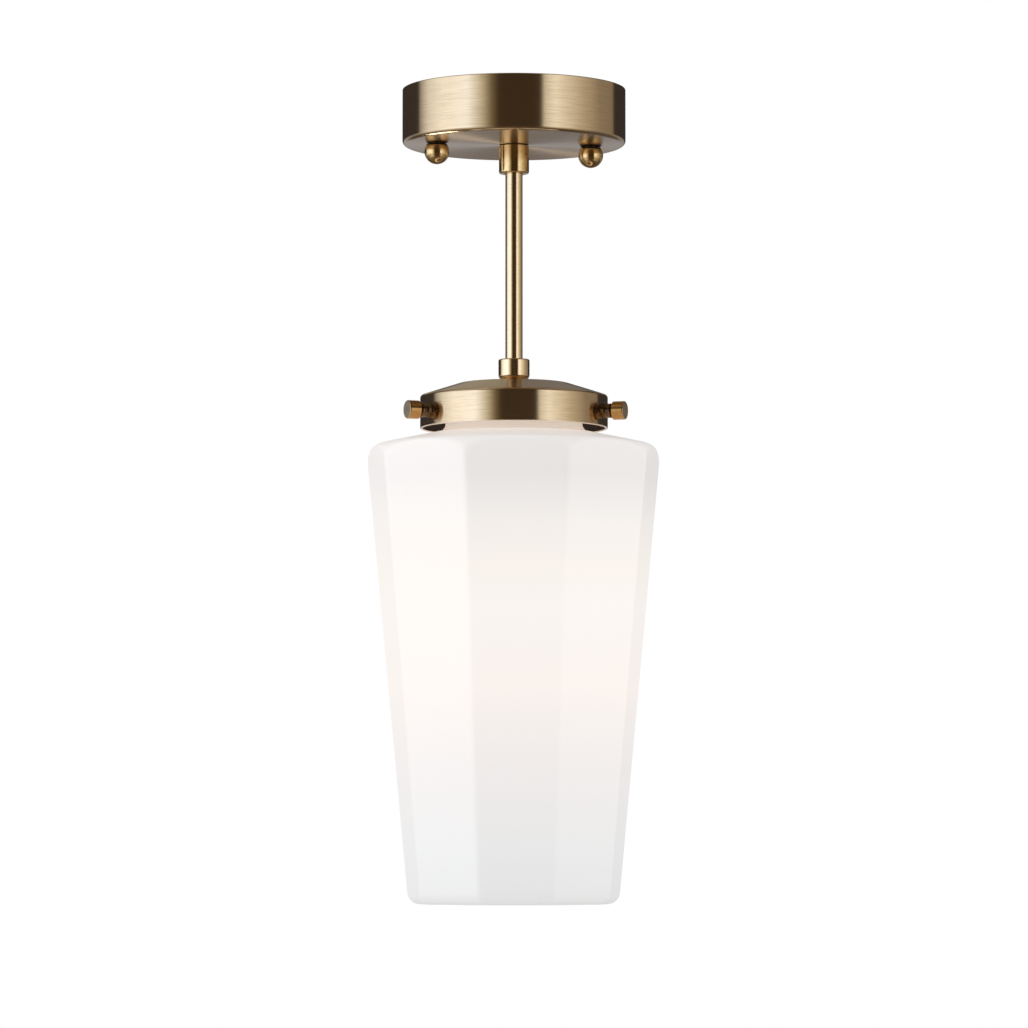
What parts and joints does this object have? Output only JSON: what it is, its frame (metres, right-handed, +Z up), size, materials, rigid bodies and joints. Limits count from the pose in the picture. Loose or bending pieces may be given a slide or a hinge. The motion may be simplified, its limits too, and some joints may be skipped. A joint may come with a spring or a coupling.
{
  "type": "pendant light",
  "caption": "Pendant light on a rigid stem with a round ceiling canopy and a tall faceted opal glass shade held by set screws.",
  "frame": {"origin": "on the stem's axis in the ceiling plane, midway between the two holes of the ceiling strap", "axes": "+Z up along the stem, the light hangs down along -Z, the front facet of the shade looks along -Y"},
  "size_m": [0.1664, 0.1645, 0.4629],
  "materials": {
    "antique_brass": "satin, brushed and aged",
    "zinc_plated_steel": "zinc plated",
    "green_steel": "green passivated",
    "tinned_copper": "tinned",
    "socket_brass": "bright",
    "porcelain": "glazed",
    "opal_glass": "opal, etched matt",
    "frosted_glass": "frosted, lit",
    "clear_glass": "clear",
    "black_glass": "gloss",
    "nickel_cap": "bright",
    "solder": "satin",
    "filament": "glowing",
    "black_lead": "satin",
    "white_lead": "satin",
    "green_lead": "satin",
    "orange_plastic": "matt"
  },
  "bodies": {
    "strap": {"box_strap": "zinc_plated_steel", "bar_retainer": "zinc_plated_steel"},
    "bar": {"canopy_bar": "zinc_plated_steel", "canopy_studs": "zinc_plated_steel", "stud_lock_nuts": "zinc_plated_steel", "ground_screw": "green_steel"},
    "lamp": {"canopy": "antique_brass", "canopy_washer": "zinc_plated_steel", "ground_lug": "tinned_copper", "stem_lock_washer": "zinc_plated_steel", "stem_hex_nut": "zinc_plated_steel", "stem_collar": "antique_brass", "stem_tube": "antique_brass", "fitter_coupling": "antique_brass", "seat_washer": "antique_brass", "fitter_tube": "zinc_plated_steel", "fitter_cap": "antique_brass", "fitter_lock_washer": "zinc_plated_steel", "fitter_hex_nut": "zinc_plated_steel", "screw_bushings": "antique_brass", "lampholder_bracket": "zinc_plated_steel", "bracket_screws": "zinc_plated_steel", "lampholder_body": "porcelain", "terminal_screws": "socket_brass", "lampholder_sleeve": "socket_brass", "lampholder_contact": "socket_brass", "lead_black": "black_lead", "lead_white": "white_lead", "lead_ground": "green_lead", "wire_connectors": "orange_plastic"},
    "nut_left": {"canopy_nut_left": "antique_brass"},
    "nut_right": {"canopy_nut_right": "antique_brass"},
    "screw_1": {"thumb_screw_1": "antique_brass"},
    "screw_2": {"thumb_screw_2": "antique_brass"},
    "screw_3": {"thumb_screw_3": "antique_brass"},
    "shade": {"glass_shade": "opal_glass"},
    "bulb": {"bulb_glass": "frosted_glass", "bulb_cap": "nickel_cap", "bulb_insulator": "black_glass", "bulb_contact": "solder", "bulb_mount": "clear_glass", "bulb_filament": "filament"}
  },
  "joints": [
    {"name": "bar_turn", "type": "hinge", "parent": "strap", "child": "bar", "pos_m": [0, 0, 0], "axis": [0, 0, 1], "range_deg": [-80, 65]},
    {"name": "canopy_drop", "type": "slide", "parent": "bar", "child": "lamp", "axis": [0, 0, 1], "range_m": [-0.007, 0]},
    {"name": "nut_left_unscrew", "type": "slide", "parent": "bar", "child": "nut_left", "axis": [0, 0, 1], "range_m": [-0.007, 0]},
    {"name": "nut_right_unscrew", "type": "slide", "parent": "bar", "child": "nut_right", "axis": [0, 0, 1], "range_m": [-0.007, 0]},
    {"name": "shade_turn", "type": "hinge", "parent": "lamp", "child": "shade", "pos_m": [0, 0, -0.19], "axis": [0, 0, 1], "continuous": true},
    {"name": "bulb_unscrew", "type": "slide", "parent": "lamp", "child": "bulb", "axis": [0, 0, 1], "range_m": [-0.024, 0]},
    {"name": "screw_1_out", "type": "slide", "parent": "lamp", "child": "screw_1", "axis": [-0.91, -0.4147, 0], "range_m": [0, 0.0108]},
    {"name": "screw_2_out", "type": "slide", "parent": "lamp", "child": "screw_2", "axis": [0.9336, -0.3584, 0], "range_m": [0, 0.0108]},
    {"name": "screw_3_out", "type": "slide", "parent": "lamp", "child": "screw_3", "axis": [-0.0305, 0.9995, 0], "range_m": [0, 0.0108]}
  ],
  "couplings": [
    {"joint": "nut_left_unscrew", "follows": "canopy_drop", "ratio": 1},
    {"joint": "nut_right_unscrew", "follows": "canopy_drop", "ratio": 1}
  ]
}
